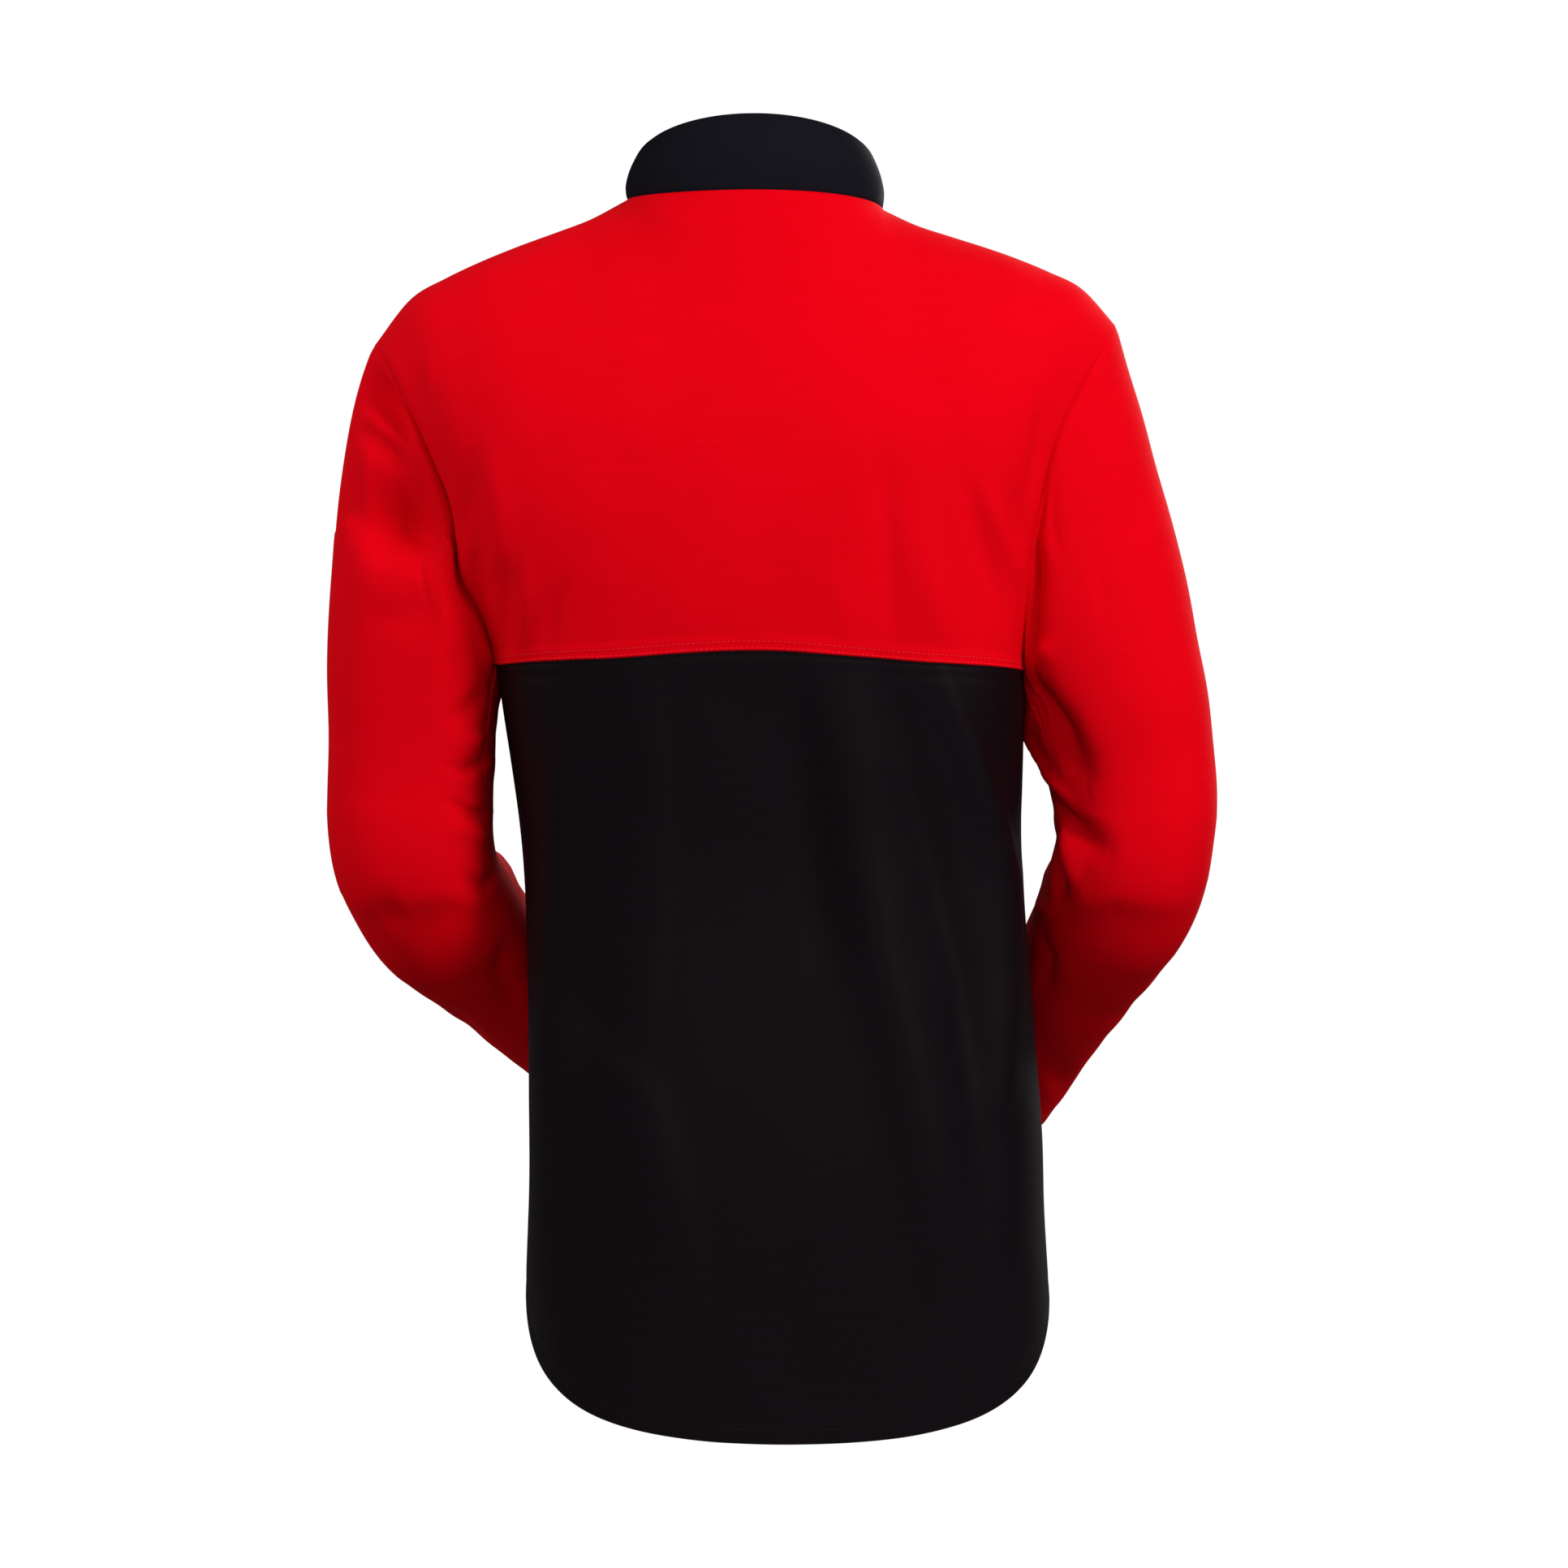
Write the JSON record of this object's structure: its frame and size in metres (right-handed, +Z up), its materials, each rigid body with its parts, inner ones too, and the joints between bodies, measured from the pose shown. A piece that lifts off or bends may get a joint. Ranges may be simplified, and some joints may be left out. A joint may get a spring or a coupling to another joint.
{
  "type": "long-sleeve t-shirt",
  "caption": "Long-sleeved knit shirt in its worn form: red upper body and bent sleeves, black lower body, black stand collar and a curved shirt-tail hem.",
  "frame": {"origin": "midway between the two neck points, where the shoulder seams meet the collar", "axes": "+Z up, -Y towards the front, +X towards the wearer's left"},
  "size_m": [0.548, 0.3286, 0.7997],
  "materials": {
    "red_knit": "smooth fine polyester knit, matt with a faint sheen",
    "black_knit": "smooth fine polyester knit, matt with a faint sheen",
    "collar_knit": "the black knit folded double, matt"
  },
  "bodies": {
    "root": {"back_lower": "black_knit", "back_upper": "red_knit", "front_lower": "black_knit", "front_upper": "red_knit", "collar": "collar_knit", "sleeve_left_upper": "red_knit", "sleeve_left_elbow": "red_knit", "sleeve_left_lower": "red_knit", "sleeve_right_upper": "red_knit", "sleeve_right_elbow": "red_knit", "sleeve_right_lower": "red_knit"}
  },
  "joints": []
}
